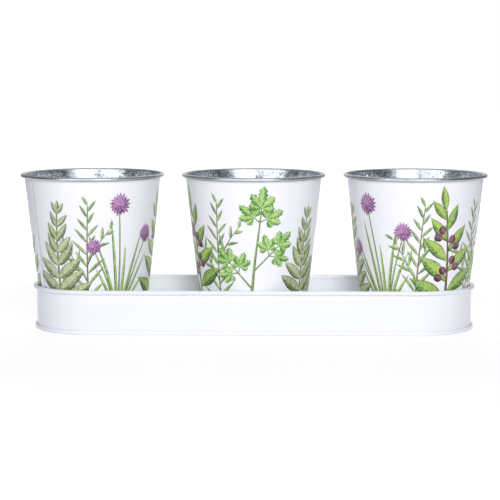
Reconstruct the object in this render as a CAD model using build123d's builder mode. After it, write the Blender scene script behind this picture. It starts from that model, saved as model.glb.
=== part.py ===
"""Indoor herb planter: three tapered sheet-steel pots standing in a long round-ended tray.

Millimetres, +Z up. The origin is the middle of the tray's underside, +X runs along the
row of pots and -Y is the front.
"""

from build123d import *
from math import acos, atan2, cos, degrees, hypot, radians, sin, tan
import os

os.makedirs("parts", exist_ok=True)

# Pots
pot_rim_diameter = 125.0
pot_foot_diameter = 89.5
pot_height = 130.0
pot_sheet = 0.4
pot_bead = 3.5
pot_foot_flange = 4.0
pot_rim_gap = 15.5

# Recessed base of a pot
base_sheet = 0.4
base_recess = 4.0
base_play = 0.1

# Flat lock seam that closes each pot's wall, and the way it faces, in degrees from +X
pot_seam_width = 6.0
pot_seam_rise = 0.4
pot_seam_start = 1.5
pot_seam_headings = {"left": -147.0, "centre": 37.0, "right": 141.0}

# Tray
tray_height = 38.4
tray_sheet = 0.5
tray_bead = 3.8
tray_pot_gap = 0.5
tray_floor_recess = 4.5

# Folded seam between the tray's band and its floor
fold_height = 4.0
fold_play = 0.1
fold_corner = 0.9

# Flat lock seam that closes the tray's band, at the back
band_seam_width = 8.0
band_seam_rise = 0.5

# Flats round the section of a rolled edge, few enough to keep the model light
roll_flats = 6

# The pots stand in a row with a gap between their rims
pot_spacing = pot_rim_diameter + pot_rim_gap

# The pot wall's inner face is tangent to the rolled rim and meets the foot one sheet further in
bead_radius = pot_bead / 2
bead_centre_r = pot_rim_diameter / 2 - bead_radius
bead_centre_z = pot_height - bead_radius
foot_r = pot_foot_diameter / 2
flare = bead_centre_r - foot_r
wall_tilt = acos((bead_radius - pot_sheet) / hypot(flare, bead_centre_z)) - atan2(bead_centre_z, flare)
wall_across = pot_sheet / cos(wall_tilt)


def outer_r(height):
    """Outer radius of a pot's wall at a height above its foot."""
    return foot_r + height * tan(wall_tilt)


def inner_r(height):
    """Inner radius of a pot's wall at a height above its foot."""
    return outer_r(height) - wall_across


# The tray's ends are half circles about the outer pots, wide enough for a pot and its seam
pot_foot_z = tray_floor_recess + tray_sheet
band_r = outer_r(tray_height - pot_foot_z) + pot_seam_rise + tray_pot_gap


def layer(count):
    """Inner face of the numbered sheet in the folded seam, counted outwards from the band."""
    return band_r + count * (tray_sheet + fold_play)


def rolled(arc):
    """Line of flats along the arc of a rolled edge."""
    return Polyline(*[arc @ (step / roll_flats) for step in range(roll_flats + 1)])


def tray_section_plane(end):
    """Upright plane across the tray at one end's centre, with its X axis pointing outwards."""
    return Plane((end * pot_spacing, 0, 0), x_dir=(0, -end, 0), z_dir=(-end, 0, 0))


def end_axis(end):
    """Upright axis of the tray's half-round end."""
    return Axis((end * pot_spacing, 0, 0), (0, 0, 1))


# Tray band: rolled top edge, plain wall, and a hook turned out and up at the bottom
roll_radius = tray_bead / 2
roll_centre_z = tray_height - roll_radius
roll_centre = (band_r + roll_radius, roll_centre_z)
hook_bottom = tray_sheet + fold_play
hook_top = fold_height - tray_sheet - fold_play

with BuildPart() as tray_band:
    for end in (-1, 1):
        with BuildSketch(tray_section_plane(end)) as band_section:
            with BuildLine():
                Polyline(
                    (band_r, roll_centre_z),
                    (band_r, hook_bottom),
                    (layer(2) + tray_sheet, hook_bottom),
                    (layer(2) + tray_sheet, hook_top),
                    (layer(2), hook_top),
                    (layer(2), hook_bottom + tray_sheet),
                    (band_r + tray_sheet, hook_bottom + tray_sheet),
                    (band_r + tray_sheet, roll_centre_z - roll_radius),
                    (band_r + roll_radius, roll_centre_z - roll_radius),
                )
                rolled(CenterArc(roll_centre, roll_radius, -90, 270, mode=Mode.PRIVATE))
            make_face()
        extrude(amount=2 * pot_spacing)
        revolve(band_section.sketch, axis=end_axis(end), revolution_arc=180)
    with BuildSketch(Plane.XY.offset(fold_height)):
        with Locations((0, band_r + tray_sheet / 2)):
            Rectangle(band_seam_width, tray_sheet / 2 + band_seam_rise, align=(Align.CENTER, Align.MIN))
    extrude(amount=roll_centre_z - fold_height)
tray_band.part.label = "tray_band"
export_step(tray_band.part, "parts/tray_band.step")

# Tray floor: recessed panel whose edge runs down inside the band, out under its hook, up and over it
fold_outer_r = layer(3) + tray_sheet
skirt_outer_r = band_r - fold_play
skirt_inner_r = skirt_outer_r - tray_sheet
cover_bottom = hook_bottom + tray_sheet + fold_play

with BuildPart() as tray_floor:
    with BuildSketch(Plane.XY.offset(tray_floor_recess)):
        SlotCenterToCenter(2 * pot_spacing, 2 * skirt_outer_r)
    extrude(amount=tray_sheet)
    for end in (-1, 1):
        with BuildSketch(tray_section_plane(end)) as floor_section:
            with BuildLine():
                Polyline(
                    (skirt_inner_r, 0),
                    (skirt_inner_r, pot_foot_z),
                    (skirt_outer_r, pot_foot_z),
                    (skirt_outer_r, tray_sheet),
                    (layer(3), tray_sheet),
                    (layer(3), fold_height - tray_sheet),
                    (layer(1) + tray_sheet, fold_height - tray_sheet),
                    (layer(1) + tray_sheet, cover_bottom),
                    (layer(1), cover_bottom),
                    (layer(1), fold_height),
                    (fold_outer_r, fold_height),
                    (fold_outer_r, 0),
                    close=True,
                )
            make_face()
            chamfer(floor_section.vertices().group_by(Axis.X)[-1], fold_corner)
        extrude(amount=2 * pot_spacing)
        revolve(floor_section.sketch, axis=end_axis(end), revolution_arc=180)
tray_floor.part.label = "tray_floor"
export_step(tray_floor.part, "parts/tray_floor.step")

# Pots: each is a wall, with a rolled rim and a turned-in foot, and a base that stands on that foot
rim_arc = 270 - degrees(wall_tilt)
bead_centre = (bead_centre_r, bead_centre_z)
bead_under_z = bead_centre_z - bead_radius
skirt_r = inner_r(pot_sheet) - base_play
base_top_r = inner_r(base_recess + base_sheet) - base_play
skirt_across = base_sheet / cos(wall_tilt)
pot_seam_bite = pot_sheet * 3 / 4

for slot, name in enumerate(("left", "centre", "right"), start=-1):
    heading = radians(pot_seam_headings[name])
    outwards = Vector(cos(heading), sin(heading), 0)
    pot_axis = Axis((slot * pot_spacing, 0, pot_foot_z), (0, 0, 1))
    section_plane = Plane(pot_axis.position, x_dir=outwards, z_dir=outwards.cross(Vector(0, 0, 1)))

    with BuildPart() as pot_wall:
        with BuildSketch(section_plane):
            with BuildLine():
                rim = rolled(CenterArc(bead_centre, bead_radius, -90, rim_arc, mode=Mode.PRIVATE))
                Polyline(
                    rim @ 1,
                    (inner_r(pot_sheet), pot_sheet),
                    (foot_r - pot_foot_flange, pot_sheet),
                    (foot_r - pot_foot_flange, 0),
                    (foot_r, 0),
                    (outer_r(bead_under_z), bead_under_z),
                    rim @ 0,
                )
            make_face()
        revolve(axis=pot_axis)
        up_the_wall = outwards * sin(wall_tilt) + Vector(0, 0, cos(wall_tilt))
        seam_foot = pot_axis.position + outwards * outer_r(pot_seam_start) + Vector(0, 0, pot_seam_start)
        seam_plane = Plane(seam_foot, x_dir=outwards.cross(up_the_wall), z_dir=up_the_wall)
        with BuildSketch(seam_plane):
            with Locations((0, -pot_seam_bite)):
                Rectangle(pot_seam_width, pot_seam_bite + pot_seam_rise, align=(Align.CENTER, Align.MIN))
        extrude(amount=(bead_centre_z - pot_seam_start) / cos(wall_tilt))
    pot_wall.part.label = f"pot_{name}_wall"
    export_step(pot_wall.part, f"parts/pot_{name}_wall.step")

    with BuildPart() as pot_base:
        with BuildSketch(section_plane):
            with BuildLine():
                Polyline(
                    (0, base_recess),
                    (0, base_recess + base_sheet),
                    (base_top_r, base_recess + base_sheet),
                    (skirt_r, pot_sheet),
                    (skirt_r - skirt_across, pot_sheet),
                    (base_top_r - skirt_across, base_recess),
                    close=True,
                )
            make_face()
        revolve(axis=pot_axis)
    pot_base.part.label = f"pot_{name}_base"
    export_step(pot_base.part, f"parts/pot_{name}_base.step")
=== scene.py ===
import random
from math import acos, asin, atan2, cos, degrees, hypot, pi, radians, sin, tan

import bpy
from mathutils import Matrix, Vector


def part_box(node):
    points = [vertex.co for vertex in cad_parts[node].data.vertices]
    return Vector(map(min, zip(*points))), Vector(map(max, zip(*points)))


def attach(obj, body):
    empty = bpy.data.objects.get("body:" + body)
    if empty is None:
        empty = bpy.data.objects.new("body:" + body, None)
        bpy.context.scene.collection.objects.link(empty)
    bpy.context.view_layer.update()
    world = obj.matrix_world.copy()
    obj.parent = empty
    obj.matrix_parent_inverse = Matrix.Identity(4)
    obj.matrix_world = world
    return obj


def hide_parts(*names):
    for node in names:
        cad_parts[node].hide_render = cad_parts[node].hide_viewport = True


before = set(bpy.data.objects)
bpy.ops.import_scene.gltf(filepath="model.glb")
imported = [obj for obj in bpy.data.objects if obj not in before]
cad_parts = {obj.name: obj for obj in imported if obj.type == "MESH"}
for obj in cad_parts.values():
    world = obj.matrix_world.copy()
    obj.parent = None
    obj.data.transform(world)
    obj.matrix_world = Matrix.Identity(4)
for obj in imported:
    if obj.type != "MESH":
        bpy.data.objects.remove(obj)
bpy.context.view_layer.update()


# Tray floor: a recessed panel of thin sheet steel, lacquered white. Its edge is folded down inside
# the band, out under it, up the outside and over the band's hook. That fold is the tray's foot.
MM = 0.001
tray_sheet = 0.5 * MM
roll_width = 3.8 * MM
fold_play = 0.1 * MM
fold_height = 4.0 * MM
hem_end_z = 1.2 * MM
panel_strip = 6.0 * MM
panel_bend = 0.3 * MM
skirt_bend = 0.9 * MM
foot_bend = 1.3 * MM
hem_bend = 0.85 * MM
end_steps = 96
weld_gap = 0.002 * MM
smooth_angle = radians(28)
_, fold_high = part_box("tray_floor")
_, band_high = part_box("tray_band")
end_x = band_high.x - band_high.y
band_r = band_high.y - roll_width
skirt_r = band_r - fold_play - tray_sheet
fold_r = fold_high.y
fold_hem_r = band_r + tray_sheet + fold_play
panel_z = fold_high.z - tray_sheet


def folded(corners, bends, steps=6, hold=0):
    """Line of a sheet's section through its corners, with an arc of the given radius at each bend. A hold
    adds a point that far from each end of the arc, so that smooth shading stays within the bend."""
    corners = [Vector(corner) for corner in corners]
    line = [corners[0]]
    for before, corner, after, bend in zip(corners, corners[1:], corners[2:], bends):
        back = (before - corner).normalized()
        ahead = (after - corner).normalized()
        half = back.angle(ahead) / 2
        middle = corner + (back + ahead).normalized() * bend / sin(half)
        start = (corner + back * bend / tan(half) - middle).normalized()
        stop = (corner + ahead * bend / tan(half) - middle).normalized()
        arc = [middle + start.slerp(stop, step / steps) * bend for step in range(steps + 1)]
        line += [arc[0] + back * hold, *arc, arc[-1] + ahead * hold] if hold else arc
    return line + [corners[-1]]


def section_line(name, line, place):
    """Start a piece as the line of its sheet's section: one vertex, extruded from point to point."""
    points = [place(point) for point in line]
    bpy.ops.object.select_all(action="DESELECT")
    bpy.ops.mesh.primitive_plane_add(size=MM)
    piece = bpy.context.object
    piece.name = piece.data.name = name
    bpy.ops.object.mode_set(mode="EDIT")
    bpy.ops.mesh.select_mode(type="VERT")
    bpy.ops.mesh.merge(type="CENTER")
    bpy.ops.transform.translate(value=points[0])
    for start, stop in zip(points, points[1:]):
        bpy.ops.mesh.extrude_region_move(TRANSFORM_OT_translate={"value": stop - start})
    bpy.ops.mesh.select_all(action="SELECT")
    return piece


def at_right_end(point):
    """Place of a section's point on the front of the tray, where its right end begins."""
    return Vector((end_x, -point[0], point[1]))


def carry_round_tray():
    """Carry the selected section once round the tray, over two half-round ends and two straight sides."""
    for end in (1, -1):
        bpy.ops.mesh.spin(steps=end_steps, angle=-pi, center=(end * end_x, 0, 0), axis=(0, 0, 1))
        bpy.ops.mesh.extrude_region_move(TRANSFORM_OT_translate={"value": (-2 * end * end_x, 0, 0)})
    bpy.ops.mesh.select_all(action="SELECT")
    bpy.ops.mesh.remove_doubles(threshold=weld_gap)


def thicken(piece, sheet, back_slot=0):
    """Give a sheet its thickness, behind the line that its section was drawn on, and round its bends. The
    new side takes the finish that is so many slots after that of the side drawn."""
    bpy.ops.mesh.select_all(action="SELECT")
    bpy.ops.mesh.normals_make_consistent(inside=False)
    bpy.ops.object.mode_set(mode="OBJECT")
    wall = piece.modifiers.new("sheet", "SOLIDIFY")
    wall.thickness = sheet
    wall.offset = -1
    wall.use_even_offset = True
    wall.material_offset = back_slot
    bpy.ops.object.modifier_apply(modifier=wall.name)
    bpy.ops.object.shade_smooth_by_angle(angle=smooth_angle)


def paint_colour(code):
    """Linear colour of an sRGB hex code."""
    parts = [int(code[i:i + 2], 16) / 255 for i in (1, 3, 5)]
    return (*[p / 12.92 if p <= 0.04045 else ((p + 0.055) / 1.055) ** 2.4 for p in parts], 1)


def add_node(tree, kind, inputs, **settings):
    """Add one node with its settings, and set or link its inputs."""
    made = tree.nodes.new(kind)
    for name, value in settings.items():
        setattr(made, name, value)
    for socket, value in inputs.items():
        if isinstance(value, bpy.types.NodeSocket):
            tree.links.new(value, made.inputs[socket])
        else:
            made.inputs[socket].default_value = value
    return made


def start_finish(name):
    """New material with an empty node tree, and the Object coordinates that its patterns read."""
    finish = bpy.data.materials.new(name)
    finish.use_nodes = True
    finish.node_tree.nodes.clear()
    place = add_node(finish.node_tree, "ShaderNodeTexCoord", {}).outputs["Object"]
    return finish, finish.node_tree, place


def end_finish(tree, **inputs):
    """Close a material with its shader. A keyword's underscores stand for the socket name's spaces."""
    sockets = {name.replace("_", " "): value for name, value in inputs.items()}
    shader = add_node(tree, "ShaderNodeBsdfPrincipled", sockets)
    add_node(tree, "ShaderNodeOutputMaterial", {"Surface": shader.outputs["BSDF"]})


def white_lacquer(name, ground, thin, gloss):
    """White stoving lacquer, sprayed on sheet steel: an even gloss with a fine orange peel, over
    sheet that is never quite flat, and a coat that is a little thinner in soft wide patches."""
    patch_width = 38 * MM
    peel_width = 1.8 * MM
    peel_depth = 0.012 * MM
    wave_width = 46 * MM
    wave_depth = 0.5 * MM
    dulling = 0.06
    finish, tree, place = start_finish(name)
    patches = add_node(
        tree, "ShaderNodeTexNoise", {"Vector": place, "Scale": 1 / patch_width, "Detail": 3.0}
    )
    coat = add_node(
        tree, "ShaderNodeMixRGB",
        {"Fac": patches.outputs["Fac"], "Color1": paint_colour(ground), "Color2": paint_colour(thin)},
    )
    peel = add_node(tree, "ShaderNodeTexNoise", {"Vector": place, "Scale": 1 / peel_width, "Detail": 1.0})
    waves = add_node(tree, "ShaderNodeTexNoise", {"Vector": place, "Scale": 1 / wave_width, "Detail": 1.0})
    peel_bump = add_node(
        tree, "ShaderNodeBump", {"Strength": 0.25, "Distance": peel_depth, "Height": peel.outputs["Fac"]}
    )
    wave_bump = add_node(
        tree, "ShaderNodeBump",
        {
            "Strength": 0.5, "Distance": wave_depth, "Height": waves.outputs["Fac"],
            "Normal": peel_bump.outputs["Normal"],
        },
    )
    gloss_map = add_node(
        tree, "ShaderNodeMapRange",
        {
            "Value": patches.outputs["Fac"], "From Min": 0.3, "From Max": 0.7,
            "To Min": gloss, "To Max": gloss + dulling,
        },
    )
    end_finish(
        tree, Base_Color=coat.outputs["Color"], Roughness=gloss_map.outputs["Result"], IOR=1.5,
        Normal=wave_bump.outputs["Normal"],
    )
    return finish


tray_white = white_lacquer("tray_stoving_lacquer", "#FBFBFE", "#F6F6FB", 0.14)

floor_line = folded(
    [
        (skirt_r - panel_strip, panel_z),
        (skirt_r, panel_z),
        (skirt_r, 0),
        (fold_r, 0),
        (fold_r, fold_height),
        (fold_hem_r, fold_height),
        (fold_hem_r, hem_end_z),
    ],
    [panel_bend, skirt_bend, foot_bend, hem_bend, hem_bend],
)
tray_floor = section_line("tray_floor_sheet", floor_line, at_right_end)
carry_round_tray()
bpy.ops.mesh.select_mode(type="VERT")
bpy.ops.mesh.select_all(action="DESELECT")
bpy.ops.object.mode_set(mode="OBJECT")
for vertex in tray_floor.data.vertices:
    from_middle = hypot(max(abs(vertex.co.x) - end_x, 0), vertex.co.y)
    vertex.select = from_middle < skirt_r - panel_strip / 2
bpy.ops.object.mode_set(mode="EDIT")
bpy.ops.mesh.edge_face_add()
thicken(tray_floor, tray_sheet)
tray_floor.data.materials.append(tray_white)
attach(tray_floor, "tray")
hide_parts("tray_floor")


# Tray band: one strip of lacquered sheet bent round both ends, curled outwards along its top edge
# and hooked into the floor's fold below. A flat lock seam at the back closes it.
roll_r = roll_width / 2
roll_bulge = 0.4 * MM
roll_start = 180 + degrees(acos(1 - roll_bulge / roll_r))
roll_steps = 30
roll_z = band_high.z - roll_r
curl_end = -140
hook_bend = 0.45 * MM
tight_bend = 0.1 * MM
bend_hold = 0.3 * MM
hook_r = fold_hem_r + tray_sheet + fold_play
hook_z = tray_sheet + fold_play
band_seam_width = 8.0 * MM
band_seam_rise = 0.5 * MM
seam_fold_depth = 1.5 * MM
lip_share = 0.3
lip_rounding = 0.48
lip_angle = radians(40)
crease_share = 0.9


def curled(middle, radius, start, stop, steps):
    """Line of a curl from one angle to another, in degrees."""
    turns = [radians(start + (stop - start) * step / steps) for step in range(steps + 1)]
    return [Vector((middle[0] + radius * cos(turn), middle[1] + radius * sin(turn))) for turn in turns]


def lock_seam(piece, finish_slot, crease_slot, foot, along, out, width, length, rise):
    """Lay the flat strip of a folded lock seam on a wall and join it on. Its long edges are round folds that
    don't quite close on the wall, so a fine dark line runs beside them. The faces in the crease take the
    finish in crease_slot, which on the pots' outside is painted shade that darkens that line."""
    lip = rise * lip_share
    bpy.ops.object.select_all(action="DESELECT")
    bpy.ops.mesh.primitive_cube_add(size=1)
    strip = bpy.context.object
    bpy.ops.object.mode_set(mode="EDIT")
    bpy.ops.transform.resize(value=(width, length, lip))
    bpy.ops.transform.translate(value=(0, length / 2, rise - lip / 2))
    bpy.ops.mesh.select_mode(type="EDGE")
    bpy.ops.mesh.select_all(action="DESELECT")
    bpy.ops.object.mode_set(mode="OBJECT")
    for edge in strip.data.edges:
        ends = [strip.data.vertices[i].co for i in edge.vertices]
        edge.select = abs(ends[0].y - ends[1].y) > length / 2
    bpy.ops.object.mode_set(mode="EDIT")
    bpy.ops.mesh.bevel(offset=lip * lip_rounding, segments=3)
    bpy.ops.mesh.select_mode(type="FACE")
    bpy.ops.mesh.select_all(action="DESELECT")
    bpy.ops.object.mode_set(mode="OBJECT")
    for face in strip.data.polygons:
        face.select = face.normal.z < -0.9
    bpy.ops.object.mode_set(mode="EDIT")
    bpy.ops.mesh.extrude_region_move()
    bpy.ops.transform.resize(value=(1 - 2 * seam_fold_depth / width, 1, 1))
    bpy.ops.mesh.extrude_region_move(TRANSFORM_OT_translate={"value": (0, 0, -rise)})
    bpy.ops.object.mode_set(mode="OBJECT")
    heights = [face.center.z for face in strip.data.polygons]
    strip.data.transform(Matrix((along.cross(out), along, out)).transposed().to_4x4())
    strip.data.transform(Matrix.Translation(foot))
    strip.data.materials.clear()
    for finish in piece.data.materials:
        strip.data.materials.append(finish)
    for face, height in zip(strip.data.polygons, heights):
        # Faces low in the fold take the crease finish: painted shade on the pots' outside seam.
        face.material_index = crease_slot if height < rise - crease_share * lip else finish_slot
    bpy.ops.object.shade_smooth_by_angle(angle=lip_angle)
    piece.select_set(True)
    bpy.context.view_layer.objects.active = piece
    bpy.ops.object.join()


band_line = folded(
    [
        (hook_r + tray_sheet, fold_height - tray_sheet - fold_play),
        (hook_r + tray_sheet, hook_z),
        (band_r, hook_z),
        (band_r, roll_z - roll_r),
    ],
    [hook_bend, tight_bend], hold=bend_hold,
)
roll_line = curled((band_r + roll_r - roll_bulge, roll_z), roll_r, roll_start, curl_end, roll_steps)
band_line = [*band_line[:-1], roll_line[0] - Vector((0, bend_hold)), *roll_line]
tray_band = section_line("tray_band_sheet", band_line, at_right_end)
carry_round_tray()
thicken(tray_band, tray_sheet)
tray_band.data.materials.append(tray_white)
lock_seam(
    tray_band, 0, 0, Vector((0, band_r + tray_sheet, fold_height)), Vector((0, 0, 1)), Vector((0, 1, 0)),
    band_seam_width, roll_z - fold_height, band_seam_rise,
)
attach(tray_band, "tray")
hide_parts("tray_band")


# Pot bases: shallow pans pressed from the same zinc-coated sheet as the pots, with their skirts down,
# resting on the turned-in foot of each wall.
def spangled_zinc(name):
    """Hot-dip zinc, left bare: grey crystals about two millimetres wide, each of which catches the light
    its own way, so that the edge of every reflection breaks up into a fine mottle. The grain on the
    crystals is drawn coarser than it is, so that it shows."""
    crystal_width = 1.8 * MM
    stray_width = 1.7 * MM
    stray_reach = 1.5 * MM
    grain_width = 0.9 * MM
    grain_depth = 0.02 * MM
    most_lean = 0.1
    mean_colour = (0.5, 0.5, 0.5)
    finish, tree, place = start_finish(name)
    stray = add_node(tree, "ShaderNodeTexNoise", {"Vector": place, "Scale": 1 / stray_width, "Detail": 2.0})
    drift = add_node(
        tree, "ShaderNodeVectorMath", {0: stray.outputs["Color"], 1: mean_colour}, operation="SUBTRACT"
    )
    shift = add_node(
        tree, "ShaderNodeVectorMath", {0: drift.outputs["Vector"], "Scale": stray_reach}, operation="SCALE"
    )
    wavy = add_node(tree, "ShaderNodeVectorMath", {0: place, 1: shift.outputs["Vector"]})
    crystals = add_node(
        tree, "ShaderNodeTexVoronoi", {"Vector": wavy.outputs["Vector"], "Scale": 1 / crystal_width}
    )
    grain = add_node(tree, "ShaderNodeTexNoise", {"Vector": place, "Scale": 1 / grain_width, "Detail": 2.0})
    parts = add_node(tree, "ShaderNodeSeparateColor", {"Color": crystals.outputs["Color"]})
    tone = add_node(
        tree, "ShaderNodeMixRGB",
        {"Fac": parts.outputs["Red"], "Color1": paint_colour("#BBC0C5"), "Color2": paint_colour("#E7EAEC")},
    )
    skin = add_node(
        tree, "ShaderNodeMapRange", {"Value": parts.outputs["Green"], "To Min": 0.15, "To Max": 0.33}
    )
    facing = add_node(tree, "ShaderNodeNewGeometry", {})
    lean = add_node(
        tree, "ShaderNodeVectorMath", {0: crystals.outputs["Color"], 1: mean_colour}, operation="SUBTRACT"
    )
    lean_by = add_node(
        tree, "ShaderNodeVectorMath", {0: lean.outputs["Vector"], "Scale": most_lean}, operation="SCALE"
    )
    tilted = add_node(
        tree, "ShaderNodeVectorMath", {0: facing.outputs["Normal"], 1: lean_by.outputs["Vector"]}
    )
    crystal_face = add_node(
        tree, "ShaderNodeVectorMath", {0: tilted.outputs["Vector"]}, operation="NORMALIZE"
    )
    rough = add_node(
        tree, "ShaderNodeBump",
        {
            "Strength": 0.2, "Distance": grain_depth, "Height": grain.outputs["Fac"],
            "Normal": crystal_face.outputs["Vector"],
        },
    )
    end_finish(
        tree, Base_Color=tone.outputs["Color"], Metallic=1.0, Roughness=skin.outputs["Result"],
        Normal=rough.outputs["Normal"],
    )
    return finish


zinc = spangled_zinc("hot_dip_zinc")
pot_names = ("left", "centre", "right")
for name in pot_names:
    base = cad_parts[f"pot_{name}_base"]
    for slot in base.material_slots:
        slot.material = zinc


# Pot walls: zinc-coated sheet rolled to a cone, lacquered white outside before it is formed. The rim is
# curled outwards, so it shows the bare zinc of the inside. A lock seam closes the cone, and the foot
# is turned in.
pot_sheet = 0.4 * MM
rim_width = 3.5 * MM
rim_steps = 36
foot_r = 89.5 / 2 * MM
foot_flange = 4.0 * MM
foot_steps = 4
pot_steps = 160
pot_seam_width = 6.0 * MM
pot_seam_rise = 0.4 * MM
pot_seam_start = 1.5 * MM
inside_seam_rise = 0.2 * MM
base_height = 4.6 * MM
pot_seam_headings = {"left": -147, "centre": 37, "right": 141}
wall_low, wall_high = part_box("pot_centre_wall")
pot_foot_z = wall_low.z
rim_r = rim_width / 2
rim_reach = rim_r + 0.1 * MM
rim_middle = Vector((wall_high.y - rim_r, wall_high.z - rim_r - pot_foot_z))
slant = rim_middle - Vector((foot_r, 0))
wall_tilt = pi / 2 - atan2(slant.y, slant.x) - asin((rim_r - pot_sheet) / slant.length)


def wall_r(height):
    """Outer radius of a pot's wall at a height above its foot."""
    return foot_r + height * tan(wall_tilt)


def burnished_zinc(name):
    """The zinc of the curled rim: the curling rolls have smeared its crystals to an even satin, with
    faint scuffs where other pots have been stacked on it."""
    smear_width = 6 * MM
    scuff_width = 1.1 * MM
    dent_depth = 0.05 * MM
    finish, tree, place = start_finish(name)
    smear = add_node(tree, "ShaderNodeTexNoise", {"Vector": place, "Scale": 1 / smear_width, "Detail": 4.0})
    scuff = add_node(tree, "ShaderNodeTexNoise", {"Vector": place, "Scale": 1 / scuff_width, "Detail": 2.0})
    tone = add_node(
        tree, "ShaderNodeMixRGB",
        {"Fac": smear.outputs["Fac"], "Color1": paint_colour("#A6ABB0"), "Color2": paint_colour("#CED2D6")},
    )
    satin = add_node(
        tree, "ShaderNodeMapRange",
        {"Value": scuff.outputs["Fac"], "From Min": 0.3, "From Max": 0.7, "To Min": 0.24, "To Max": 0.4},
    )
    dents = add_node(
        tree, "ShaderNodeBump", {"Strength": 0.3, "Distance": dent_depth, "Height": smear.outputs["Fac"]}
    )
    end_finish(
        tree, Base_Color=tone.outputs["Color"], Metallic=1.0, Roughness=satin.outputs["Result"],
        Normal=dents.outputs["Normal"],
    )
    return finish


def painted_crease_shade(name):
    """Painted shade for the crease beside a folded seam: a dull grey line, mottled between two greys, that
    darkens the crease as its shadow would."""
    crease_mottle_width = 4 * MM
    finish, tree, place = start_finish(name)
    crease_mottle = add_node(tree, "ShaderNodeTexNoise", {"Vector": place, "Scale": 1 / crease_mottle_width, "Detail": 2.0})
    tone = add_node(
        tree, "ShaderNodeMixRGB",
        {"Fac": crease_mottle.outputs["Fac"], "Color1": paint_colour("#6C6F74"), "Color2": paint_colour("#9EA1A6")},
    )
    end_finish(tree, Base_Color=tone.outputs["Color"], Roughness=0.8)
    return finish


rim_zinc = burnished_zinc("burnished_zinc")
# Painted shade for the seam's crease, in a finish of its own.
seam_shade_finish = painted_crease_shade("painted_crease_shade")
pot_white = white_lacquer("pot_stoving_lacquer", "#FCFBFE", "#F8F7FC", 0.3)
wall_finishes = (zinc, pot_white, rim_zinc, seam_shade_finish)
zinc_slot, white_slot, rim_slot, seam_shade_slot = range(len(wall_finishes))

inside_foot = (wall_r(pot_sheet) - pot_sheet / cos(wall_tilt), pot_sheet)
wall_line = folded(
    [(foot_r - foot_flange, pot_sheet), inside_foot, rim_middle - Vector((rim_r, 0))],
    [tight_bend], foot_steps, bend_hold,
)
rim_line = curled(rim_middle, rim_r, 180 - degrees(wall_tilt), curl_end, rim_steps)
below_rim = rim_line[0] - Vector((sin(wall_tilt), cos(wall_tilt))) * bend_hold
wall_line = [*wall_line[:-1], below_rim, *rim_line]

pot_x = {}
for name in pot_names:
    wall_low, wall_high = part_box(f"pot_{name}_wall")
    pot_x[name] = (wall_low.x + wall_high.x) / 2
    axis = Vector((pot_x[name], 0, pot_foot_z))
    heading = radians(pot_seam_headings[name])
    out = Vector((cos(heading), sin(heading), 0))
    wall = section_line(
        f"pot_{name}_sheet", wall_line, lambda point: axis + out * point[0] + Vector((0, 0, point[1]))
    )
    bpy.ops.mesh.spin(steps=pot_steps, angle=2 * pi, center=axis, axis=(0, 0, 1))
    bpy.ops.mesh.select_all(action="SELECT")
    bpy.ops.mesh.remove_doubles(threshold=weld_gap)
    bpy.ops.object.mode_set(mode="OBJECT")
    for finish in wall_finishes:
        wall.data.materials.append(finish)
    for face in wall.data.polygons:
        from_axis = face.center - axis
        from_curl = Vector((hypot(from_axis.x, from_axis.y), from_axis.z)) - rim_middle
        face.material_index = rim_slot if from_curl.length < rim_reach else zinc_slot
    bpy.ops.object.mode_set(mode="EDIT")
    thicken(wall, pot_sheet, back_slot=white_slot - zinc_slot)
    up_wall = out * sin(wall_tilt) + Vector((0, 0, cos(wall_tilt)))
    off_wall = out * cos(wall_tilt) - Vector((0, 0, sin(wall_tilt)))
    seam_foot = axis + out * wall_r(pot_seam_start) + Vector((0, 0, pot_seam_start))
    seam_length = (rim_middle.y - rim_r - pot_seam_start) / cos(wall_tilt)
    # The outside seam's crease takes the painted shade; the inside seam's crease stays zinc.
    lock_seam(
        wall, white_slot, seam_shade_slot, seam_foot, up_wall, off_wall, pot_seam_width, seam_length,
        pot_seam_rise,
    )
    past_base = base_height - pot_seam_start
    inside_seam_foot = seam_foot - off_wall * pot_sheet + up_wall * past_base
    lock_seam(
        wall, zinc_slot, zinc_slot, inside_seam_foot, up_wall, -off_wall, pot_seam_width,
        seam_length - past_base, inside_seam_rise,
    )
    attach(wall, f"pot_{name}")
    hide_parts(f"pot_{name}_wall")


# Herb print: sprigs of sage, bay, parsley, chives and tarragon in washes of coloured ink, printed on the
# white ground before the sheet is formed and under the same clear gloss. Each is drawn flat in
# millimetres, as on the printer's sheet, and then laid round the cone.
ink_lift = 0.05
ink_layer = 0.02
draw = random.Random(20)


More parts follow.
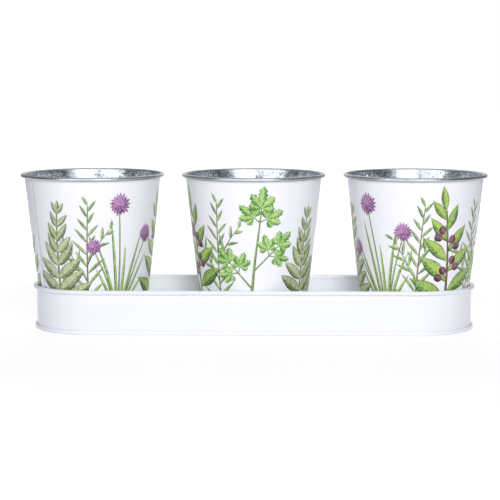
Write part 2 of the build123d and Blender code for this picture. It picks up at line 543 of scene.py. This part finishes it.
def leaf_wash(name, pale, deep, line, veins=0):
    """Botanical wash in printing ink: pale by the rib and on the lit half, deep on the shaded half and
    towards the edge, cloudy where the wash pooled, with pale veins and a fine drawn outline."""
    pool_width = 2.6 * MM
    vein_rise = -1.3
    finish, tree, place = start_finish(name)
    chart = add_node(tree, "ShaderNodeUVMap", {}, uv_map="UVMap")
    flat = add_node(tree, "ShaderNodeSeparateXYZ", {"Vector": chart.outputs["UV"]})
    shade_side = add_node(tree, "ShaderNodeAttribute", {}, attribute_name="shade")
    right = add_node(
        tree, "ShaderNodeMath", {0: flat.outputs["X"], 1: 2.0, 2: -1.0}, operation="MULTIPLY_ADD"
    )
    across = add_node(
        tree, "ShaderNodeMath", {0: right.outputs["Value"], 1: shade_side.outputs["Fac"]},
        operation="MULTIPLY",
    )
    out = add_node(tree, "ShaderNodeMath", {0: across.outputs["Value"]}, operation="ABSOLUTE")
    rib = add_node(
        tree, "ShaderNodeMapRange",
        {"Value": out.outputs["Value"], "From Min": 0.03, "From Max": 0.16, "To Min": 0.55, "To Max": 0.0},
    )
    shaded = add_node(
        tree, "ShaderNodeMapRange",
        {
            "Value": across.outputs["Value"], "From Min": -0.35, "From Max": 0.5,
            "To Min": -0.12, "To Max": 0.5,
        },
    )
    edge = add_node(
        tree, "ShaderNodeMapRange",
        {"Value": out.outputs["Value"], "From Min": 0.5, "From Max": 1.0, "To Min": 0.0, "To Max": 0.3},
    )
    cloud = add_node(tree, "ShaderNodeTexNoise", {"Vector": place, "Scale": 1 / pool_width, "Detail": 3.0})
    pooled = add_node(
        tree, "ShaderNodeMapRange",
        {"Value": cloud.outputs["Fac"], "From Min": 0.3, "From Max": 0.7, "To Min": -0.35, "To Max": 0.35},
    )
    own = add_node(tree, "ShaderNodeAttribute", {}, attribute_name="tint")
    depth = own.outputs["Fac"]
    for part in (shaded, edge, pooled):
        depth = add_node(
            tree, "ShaderNodeMath", {0: depth, 1: part.outputs["Result"]}, operation="ADD"
        ).outputs["Value"]
    depth = add_node(
        tree, "ShaderNodeMath", {0: depth, 1: rib.outputs["Result"]}, operation="SUBTRACT"
    ).outputs["Value"]
    if veins:
        rising = add_node(
            tree, "ShaderNodeMath", {0: out.outputs["Value"], 1: vein_rise}, operation="MULTIPLY"
        )
        along = add_node(
            tree, "ShaderNodeMath", {0: flat.outputs["Y"], 1: veins, 2: rising.outputs["Value"]},
            operation="MULTIPLY_ADD",
        )
        between = add_node(tree, "ShaderNodeMath", {0: along.outputs["Value"], 1: 0.5}, operation="PINGPONG")
        vein = add_node(
            tree, "ShaderNodeMapRange",
            {
                "Value": between.outputs["Value"], "From Min": 0.04, "From Max": 0.18,
                "To Min": 0.42, "To Max": 0.0,
            },
        )
        depth = add_node(
            tree, "ShaderNodeMath", {0: depth, 1: vein.outputs["Result"]}, operation="SUBTRACT"
        ).outputs["Value"]
    wash = add_node(
        tree, "ShaderNodeMixRGB", {"Fac": depth, "Color1": paint_colour(pale), "Color2": paint_colour(deep)},
        use_clamp=True,
    )
    outline = add_node(
        tree, "ShaderNodeMapRange",
        {"Value": out.outputs["Value"], "From Min": 0.76, "From Max": 0.94, "To Min": 0.0, "To Max": 1.0},
    )
    pressed = add_node(
        tree, "ShaderNodeMapRange",
        {"Value": across.outputs["Value"], "From Min": -0.5, "From Max": 0.5, "To Min": 0.5, "To Max": 1.0},
    )
    drawn = add_node(
        tree, "ShaderNodeMath", {0: outline.outputs["Result"], 1: pressed.outputs["Result"]},
        operation="MULTIPLY",
    )
    ink = add_node(
        tree, "ShaderNodeMixRGB",
        {"Fac": drawn.outputs["Value"], "Color1": wash.outputs["Color"], "Color2": paint_colour(line)},
    )
    end_finish(tree, Base_Color=ink.outputs["Color"], Roughness=0.33, IOR=1.5)
    return finish


def leaf_blank(name, finish, half_width, rows=10):
    """Model one leaf flat, one unit long and wide: a grid drawn in to its outline, its ends closed."""
    bpy.ops.object.select_all(action="DESELECT")
    bpy.ops.mesh.primitive_grid_add(x_subdivisions=4, y_subdivisions=rows, size=1)
    blank = bpy.context.object
    blank.name = blank.data.name = name
    for vertex in blank.data.vertices:
        up = vertex.co.y + 0.5
        vertex.co = (vertex.co.x * 2 * half_width(up), up, 0)
    bpy.ops.object.mode_set(mode="EDIT")
    bpy.ops.mesh.select_all(action="SELECT")
    bpy.ops.mesh.remove_doubles(threshold=0.001)
    bpy.ops.object.mode_set(mode="OBJECT")
    blank.data.materials.append(finish)
    return blank


green_stalk = leaf_blank(
    "green_stalk", leaf_wash("green_stalk_ink", "#A6BE66", "#4A682C", "#33301F"), lambda t: 0.5 - 0.22 * t, 12
)
brown_stalk = leaf_blank(
    "brown_stalk", leaf_wash("brown_stalk_ink", "#927C52", "#4B3A28", "#2C2418"), lambda t: 0.5 - 0.25 * t, 12
)
sage_leaf = leaf_blank(
    "sage_leaf", leaf_wash("sage_ink", "#CBD2A6", "#5C7440", "#343F28", 8),
    lambda t: 0.5 * max(sin(pi * t ** 0.8), 0) ** 0.8 * (1 + 0.05 * cos(9 * 2 * pi * t)), 18,
)
bay_leaf = leaf_blank(
    "bay_leaf", leaf_wash("bay_ink", "#B4CF68", "#38702A", "#1F3318", 9),
    lambda t: 0.5 * max(sin(pi * t ** 0.95), 0) ** 1.2,
)
parsley_lobe = leaf_blank(
    "parsley_lobe", leaf_wash("parsley_ink", "#BCDC86", "#3F8A2C", "#244C1A", 4),
    lambda t: 0.5 * max(sin(pi * t ** 1.5), 0) ** 0.8 * (1 + 0.24 * cos(5 * 2 * pi * t)), 20,
)
chive_blade = leaf_blank(
    "chive_blade", leaf_wash("chive_ink", "#BBD682", "#467A30", "#2B4A20"), lambda t: 0.5 * (1 - t ** 5), 12
)
chive_petal = leaf_blank(
    "chive_petal", leaf_wash("chive_flower_ink", "#CE9CC9", "#6B2F6E", "#3A1A40"),
    lambda t: 0.5 * max(sin(pi * t ** 0.8), 0), 4,
)
tarragon_leaf = leaf_blank(
    "tarragon_leaf", leaf_wash("tarragon_ink", "#B5CF86", "#466F36", "#22381C"),
    lambda t: 0.5 * max(sin(pi * t ** 0.85), 0) ** 0.9, 8,
)
bay_berry = leaf_blank(
    "bay_berry", leaf_wash("bay_berry_ink", "#9C6479", "#3B182E", "#1E0C1A"),
    lambda t: 0.5 * max(1 - (2 * t - 1) ** 2, 0) ** 0.5, 8,
)


def lay(blank, foot, width, length, turn=0.0, bend=0.0, layer=0, tint=None):
    """Lay a copy of a leaf flat at its foot, turned to the right by some degrees and bent sideways. Its
    lower half is the shaded one."""
    leaf = blank.copy()
    leaf.data = blank.data.copy()
    bpy.context.scene.collection.objects.link(leaf)
    turned = Matrix.Rotation(-radians(turn), 4, "Z")
    for vertex in leaf.data.vertices:
        flat = Vector((vertex.co.x * width + bend * vertex.co.y ** 2, vertex.co.y * length, 0))
        vertex.co = turned @ flat + Vector((foot[0], foot[1], ink_lift + ink_layer * layer))
    if tint is None:
        tint = draw.uniform(0.15, 0.5)
    for label, value in (("tint", tint), ("shade", 1.0 if turn >= 0 else -1.0)):
        own = leaf.data.attributes.new(label, "FLOAT", "POINT")
        own.data.foreach_set("value", [value] * len(leaf.data.vertices))
    return leaf


def gather(name, leaves):
    """Join the laid leaves of one sprig, or the sprigs of one pot."""
    bpy.ops.object.select_all(action="DESELECT")
    for leaf in leaves:
        leaf.select_set(True)
    bpy.context.view_layer.objects.active = leaves[0]
    bpy.ops.object.join()
    leaves[0].name = leaves[0].data.name = name
    return leaves[0]


def up_stalk(height, bend, t):
    """Place on a bent stalk, and its lean there in degrees."""
    return (bend * t * t, height * t), degrees(atan2(2 * bend * t, height))


def toward(turn):
    """Direction on the flat sheet, turned to the right from straight up by some degrees."""
    return Vector((sin(radians(turn)), cos(radians(turn))))


def sage_sprig():
    """Sage: long soft leaves in opposite pairs, smaller towards the tip."""
    height, bend = 82, 7
    leaves = [lay(green_stalk, (0, 0), 2.2, height, bend=bend, tint=0.5)]
    for pair in range(7):
        foot, lean = up_stalk(height, bend, 0.1 + 0.125 * pair)
        length = 32 - 3 * pair
        for side in (-1, 1):
            spread = lean + side * (60 - 4.5 * pair + draw.uniform(-7, 7))
            reach = length * draw.uniform(0.88, 1.08)
            droop = side * length * draw.uniform(-0.14, 0.06)
            layer = 1 + (pair * 2 + (side > 0)) % 6
            leaves.append(lay(sage_leaf, foot, length * 0.34, reach, spread, droop, layer))
    for turn in (-30, 32, 2):
        leaves.append(lay(sage_leaf, (bend, height - 2), 3.8, 11, turn + 8, 0, 7))
    return gather("sage_sprig", leaves)


def bay_sprig():
    """Bay: pointed leathery leaves one after the other up a woody twig, with berries in their axils."""
    height, bend = 80, -8
    leaves = [lay(brown_stalk, (0, 0), 2.4, height, bend=bend, tint=0.5)]
    for turn_up in range(9):
        foot, lean = up_stalk(height, bend, 0.1 + 0.1 * turn_up)
        side = 1 if turn_up % 2 else -1
        length = 36 - 1.9 * turn_up
        spread = lean + side * (54 - 3 * turn_up + draw.uniform(-6, 6))
        droop = side * length * draw.uniform(0.0, 0.16)
        leaves.append(lay(bay_leaf, foot, length * 0.34, length, spread, droop, 1 + turn_up % 5))
        if turn_up in (2, 3, 5, 6):
            for reach, out in ((7.5, 24), (6, 64)):
                out = lean + side * out
                stem = lay(brown_stalk, foot, 0.8, reach, out, 0, 6, 0.6)
                tip = Vector(foot) + toward(out) * (reach - 1)
                leaves += [stem, lay(bay_berry, tip, 6, 7.2, out, 0, 7, draw.uniform(0.2, 0.5))]
    leaves.append(lay(bay_leaf, (bend, height - 1), 6.5, 21, -14, 0, 6))
    return gather("bay_sprig", leaves)


def parsley_leaflet(foot, turn, size, layer):
    """Flat parsley's leaflet: a fan of five toothed lobes."""
    fan = ((-82, 0.55), (82, 0.55), (-42, 0.84), (42, 0.84), (0, 1.06))
    return [
        lay(parsley_lobe, foot, size * 0.4, size * reach, turn + spread, 0, layer + step * 0.5)
        for step, (spread, reach) in enumerate(fan)
    ]


def parsley_frond(foot, turn, reach, size, layer):
    """A stalk that carries three leaflets: one at its tip and two beside it."""
    fork = Vector(foot) + toward(turn) * reach * 0.6
    tip = Vector(foot) + toward(turn) * reach
    leaves = [lay(green_stalk, foot, 1.3, reach + 2, turn, 0, 0, 0.4)]
    for side in (-1, 1):
        out = turn + side * 58
        branch = toward(out) * size * 0.35
        leaves.append(lay(green_stalk, fork, 1.0, size * 0.5, out, 0, 0, 0.4))
        leaves += parsley_leaflet(fork + branch, out, size * 0.85, layer)
    return leaves + parsley_leaflet(tip, turn, size, layer + 3)


def parsley_sprig():
    """Flat parsley: three fronds from one stalk."""
    leaves = [lay(green_stalk, (0, 0), 2.2, 58, bend=3, tint=0.4)]
    leaves += parsley_frond((0.3, 17), -44, 25, 12.5, 1)
    leaves += parsley_frond((0.9, 30), 42, 25, 12.5, 2)
    leaves += parsley_frond((2.4, 50), 4, 24, 15, 3)
    return gather("parsley_sprig", leaves)


def chive_head(middle, size, turn):
    """A round head of narrow petals, laid ring on ring from the outside in, deeper on its shaded side."""
    petals = []
    lit = Vector((-0.55, 0.84))
    rings = ((17, 0.3, 0.7), (14, 0.18, 0.62), (10, 0.06, 0.5), (6, 0.0, 0.3))
    for ring, (count, inner, reach) in enumerate(rings):
        for step in range(count):
            way = 360 * (step + ring / 2) / count + turn
            tint = 0.34 - 0.34 * toward(way).dot(lit) - 0.06 * ring + draw.uniform(-0.2, 0.2)
            foot = Vector(middle) + toward(way) * inner * size / 2
            length = size / 2 * reach * draw.uniform(0.85, 1.12)
            petals.append(lay(chive_petal, foot, size * 0.14, length, way, 0, 4 + ring, tint))
    return petals


def chive_sprig():
    """Chives: a tuft of hollow blades with three round purple heads."""
    leaves = []
    for lean, length, bend in (
        (-13, 64, -9), (14, 58, 10), (-7, 82, -4), (8, 74, 6), (-19, 44, -7), (20, 40, 8), (3, 60, -3)
    ):
        leaves.append(lay(chive_blade, (lean * 0.12, 0), 2.4, length, lean, bend, 1 + len(leaves) % 3))
    for lean, length, bend, size in ((-2, 88, -5, 19), (11, 68, 8, 16), (-15, 58, -10, 14)):
        foot = Vector((lean * 0.1, 0))
        leaves.append(lay(green_stalk, foot, 1.7, length, lean, bend, 3, 0.3))
        tip = foot + Vector((bend, length)) @ Matrix.Rotation(radians(lean), 2)
        leaves += chive_head(tip + Vector((0, size * 0.2)), size, lean)
    return gather("chive_sprig", leaves)


def tarragon_shoot(foot, turn, height, bend, leaf):
    """A slender shoot with narrow leaves one after the other, shorter towards its tip."""
    leaf_spacing = 5.2
    stalk_width = 1.1 if height < 60 else 1.5
    shoot = [lay(brown_stalk, foot, stalk_width, height, turn, bend, 0, 0.4)]
    count = int(height / leaf_spacing)
    for step in range(2, count + 1):
        place, lean = up_stalk(height, bend, step / count)
        joint = Vector(foot) + Vector(place) @ Matrix.Rotation(radians(turn), 2)
        side = 1 if step % 2 else -1
        length = leaf * (1.12 - 0.62 * step / count) * draw.uniform(0.85, 1.1)
        spread = turn + lean + side * (44 - 22 * step / count + draw.uniform(-8, 8))
        shoot.append(lay(tarragon_leaf, joint, 2.7, length, spread, side * length * 0.12, 1))
    return shoot


def tarragon_sprig():
    """Tarragon: a tall shoot with two side shoots, all in narrow leaves."""
    shoots = tarragon_shoot((0, 0), 0, 96, 5, 22)
    shoots += tarragon_shoot((0.5, 30), -24, 42, -5, 17)
    shoots += tarragon_shoot((1.2, 45), 26, 36, 6, 16)
    return gather("tarragon_sprig", shoots)


sprigs = {
    "sage": sage_sprig(), "bay": bay_sprig(), "parsley": parsley_sprig(), "chives": chive_sprig(),
    "tarragon": tarragon_sprig(),
}
# Each sprig's herb, its heading round the pot in degrees from +X, the height of its foot in
# millimetres, its size, and its lean to the right in degrees.
pot_prints = {
    "left": (
        ("sage", -118, 12, 1.08, -4), ("chives", -58, 10, 1.05, 4), ("bay", 4, 14, 1.05, 0),
        ("parsley", 66, 14, 1.15, -3), ("chives", 128, 10, 1.0, 3), ("bay", 186, 14, 0.95, 5),
        ("tarragon", -88, 10, 1.0, -3), ("tarragon", 36, 10, 0.96, 3), ("tarragon", 98, 10, 1.02, 2),
    ),
    "centre": (
        ("bay", -158, 16, 1.06, 4), ("parsley", -92, 14, 1.22, 3), ("sage", -34, 12, 1.02, -5),
        ("chives", 78, 10, 1.04, 0), ("bay", 138, 15, 1.0, -4), ("parsley", 6, 14, 1.0, 3),
        ("tarragon", -124, 10, 1.02, -2), ("tarragon", 106, 10, 1.0, 0),
    ),
    "right": (
        ("chives", -124, 10, 1.06, -4), ("bay", -62, 14, 1.1, 3), ("parsley", 0, 14, 1.15, 0),
        ("sage", 60, 12, 1.05, 4), ("parsley", 112, 14, 1.0, -3), ("sage", 184, 12, 1.04, 0),
        ("tarragon", -94, 10, 1.0, 2), ("tarragon", -30, 10, 0.97, -3), ("tarragon", 146, 10, 1.0, 3),
    ),
}


def lay_round(sprig, name, heading, height, size, lean):
    """Copy a flat sprig and lay it round a pot's cone, its foot at a height on one heading."""
    printed = sprig.copy()
    printed.data = sprig.data.copy()
    bpy.context.scene.collection.objects.link(printed)
    leaned = Matrix.Rotation(-radians(lean), 2)
    for vertex in printed.data.vertices:
        side, up = leaned @ Vector(vertex.co.xy) * size * MM
        up += height * MM
        radius = wall_r(up) + vertex.co.z * MM
        angle = radians(heading) + side / wall_r(up)
        vertex.co = (pot_x[name] + radius * cos(angle), radius * sin(angle), pot_foot_z + up)
    return printed


for name in pot_names:
    herb_print = gather(
        f"pot_{name}_print", [lay_round(sprigs[kind], name, *where) for kind, *where in pot_prints[name]]
    )
    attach(herb_print, f"pot_{name}")
for spare in (
    *sprigs.values(), green_stalk, brown_stalk, sage_leaf, bay_leaf, parsley_lobe, chive_blade, chive_petal,
    tarragon_leaf, bay_berry,
):
    bpy.data.objects.remove(spare)


# Studio: a white floor whose glow rises with the distance from the object, so that the soft shadow shows
# close to it, and a white surround. Soft lamps stand at the front right, at the front left and behind.
# Boards from dark grey to white, round the object and overhead, are seen by reflections only.
floor_width = 12
floor_near, floor_far = 0.3, 0.8
near_glow, far_glow = 1.15, 1.4
glow_share = 0.72
white_light = (1, 1, 1, 1)
fill_light = (0.15, 0.16, 0.205, 1)


def seen_behind(tree):
    """One for the rays that show the background: from the camera, off a glossy surface or through glass."""
    ray = add_node(tree, "ShaderNodeLightPath", {})
    metal = add_node(
        tree, "ShaderNodeMath", {0: ray.outputs["Is Camera Ray"], 1: ray.outputs["Is Glossy Ray"]},
        operation="MAXIMUM",
    )
    glass = add_node(
        tree, "ShaderNodeMath", {0: metal.outputs["Value"], 1: ray.outputs["Is Transmission Ray"]},
        operation="MAXIMUM",
    )
    return glass.outputs["Value"]


bpy.ops.object.select_all(action="DESELECT")
bpy.ops.mesh.primitive_plane_add(size=floor_width)
studio_floor = bpy.context.object
studio_floor.name = "studio_floor"
floor_paint, floor_tree, floor_place = start_finish("studio_floor_white")
floor_lit = add_node(floor_tree, "ShaderNodeBsdfDiffuse", {"Color": paint_colour("#F4F4F5")})
floor_away = add_node(floor_tree, "ShaderNodeVectorMath", {0: floor_place}, operation="LENGTH")
floor_level = add_node(
    floor_tree, "ShaderNodeMapRange",
    {
        "Value": floor_away.outputs["Value"], "From Min": floor_near, "From Max": floor_far,
        "To Min": near_glow, "To Max": far_glow,
    },
)
floor_glow = add_node(
    floor_tree, "ShaderNodeEmission", {"Color": white_light, "Strength": floor_level.outputs["Result"]}
)
floor_white = add_node(
    floor_tree, "ShaderNodeMixShader",
    {"Fac": glow_share, 1: floor_lit.outputs["BSDF"], 2: floor_glow.outputs["Emission"]},
)
floor_mix = add_node(
    floor_tree, "ShaderNodeMixShader",
    {"Fac": seen_behind(floor_tree), 1: floor_lit.outputs["BSDF"], 2: floor_white.outputs["Shader"]},
)
add_node(floor_tree, "ShaderNodeOutputMaterial", {"Surface": floor_mix.outputs["Shader"]})
studio_floor.data.materials.append(floor_paint)

surround = bpy.data.worlds.new("white_surround")
bpy.context.scene.world = surround
surround.use_nodes = True
sky = surround.node_tree
sky.nodes.clear()
sky_light = add_node(
    sky, "ShaderNodeMixRGB", {"Fac": seen_behind(sky), "Color1": fill_light, "Color2": white_light}
)
sky_white = add_node(sky, "ShaderNodeBackground", {"Color": sky_light.outputs["Color"], "Strength": 1.0})
add_node(sky, "ShaderNodeOutputWorld", {"Surface": sky_white.outputs["Background"]})

board_paints = {}
for name, colour, glow in (
    ("dark", "#54585E", 1.0), ("grey", "#85888D", 1.0), ("pale", "#C8CACE", 1.0), ("white", "#FFFFFF", 1.9)
):
    board_paint = bpy.data.materials.new(f"{name}_board")
    board_paint.use_nodes = True
    board_paint.node_tree.nodes.clear()
    board_glow = add_node(
        board_paint.node_tree, "ShaderNodeEmission", {"Color": paint_colour(colour), "Strength": glow}
    )
    add_node(board_paint.node_tree, "ShaderNodeOutputMaterial", {"Surface": board_glow.outputs["Emission"]})
    board_paints[name] = board_paint
upright = radians(90)
# Each board's paint, its middle in metres, its turn, and its size in metres.
boards = {
    "board_left": ("dark", (-0.62, -0.225, 0.45), (0, upright, 0), (0.9, 0.45)),
    "board_right": ("dark", (0.62, -0.35, 0.45), (0, upright, 0), (0.9, 0.7)),
    "board_side_left": ("grey", (-0.62, 0.35, 0.45), (0, upright, 0), (0.9, 0.7)),
    "board_side_right": ("grey", (0.62, 0.35, 0.45), (0, upright, 0), (0.9, 0.7)),
    "board_back_left": ("pale", (-0.48, 0.75, 0.45), (upright, 0, radians(-25)), (0.55, 0.9)),
    "board_back_right": ("pale", (0.48, 0.75, 0.45), (upright, 0, radians(25)), (0.55, 0.9)),
    "board_overhead": ("pale", (0, -0.1, 1.3), (0, 0, 0), (2.0, 1.4)),
    "board_camera": ("grey", (-0.2, -1.5, 0.38), (upright, 0, 0), (0.32, 0.6)),
    "board_front_right": ("white", (0.41, -1.45, 0.6), (upright, 0, radians(15.2)), (0.85, 1.2)),
    "board_front_left": ("white", (-0.8, -1.3, 0.6), (upright, 0, radians(-31.5)), (0.95, 1.2)),
}
for name, (paint, middle, turn, size) in boards.items():
    bpy.ops.object.select_all(action="DESELECT")
    bpy.ops.mesh.primitive_plane_add(size=1, location=middle, rotation=turn)
    board = bpy.context.object
    board.name = name
    board.scale = (*size, 1)
    board.data.materials.append(board_paints[paint])
    board.visible_camera = False
    board.visible_diffuse = False
    board.visible_shadow = False
    board.visible_transmission = False

lamp_aim = Vector((0, 0, 0.06))
# Each lamp's place and size in metres, and its watts. Reflections don't see the back lamp.
lamps = {
    "lamp_right": ((0.38, -1.67, 0.7), (0.65, 1.0), 19.8),
    "lamp_left": ((-1.0, -1.25, 0.6), (0.9, 0.9), 4.7),
    "lamp_back": ((0, 1.7, 1.0), (1.3, 1.0), 21.5),
}
for name, (place, size, watts) in lamps.items():
    lamp = bpy.data.lights.new(name, "AREA")
    lamp.shape = "RECTANGLE"
    lamp.size, lamp.size_y = size
    lamp.energy = watts
    holder = bpy.data.objects.new(name, lamp)
    bpy.context.scene.collection.objects.link(holder)
    holder.location = place
    holder.rotation_euler = (lamp_aim - Vector(place)).to_track_quat("-Z", "Y").to_euler()
    holder.visible_camera = False
    holder.visible_glossy = name != "lamp_back"

camera_dip = 0.1196
camera_turn = 0.0202
lens = bpy.data.cameras.new("camera")
lens.lens = 116.3
lens.sensor_width = 36
camera = bpy.data.objects.new("camera", lens)
bpy.context.scene.collection.objects.link(camera)
camera.location = (0.0252, -1.4054, 0.2362)
camera.rotation_euler = (pi / 2 - camera_dip, 0, camera_turn)
bpy.context.scene.camera = camera
bpy.context.scene.view_settings.view_transform = "Standard"
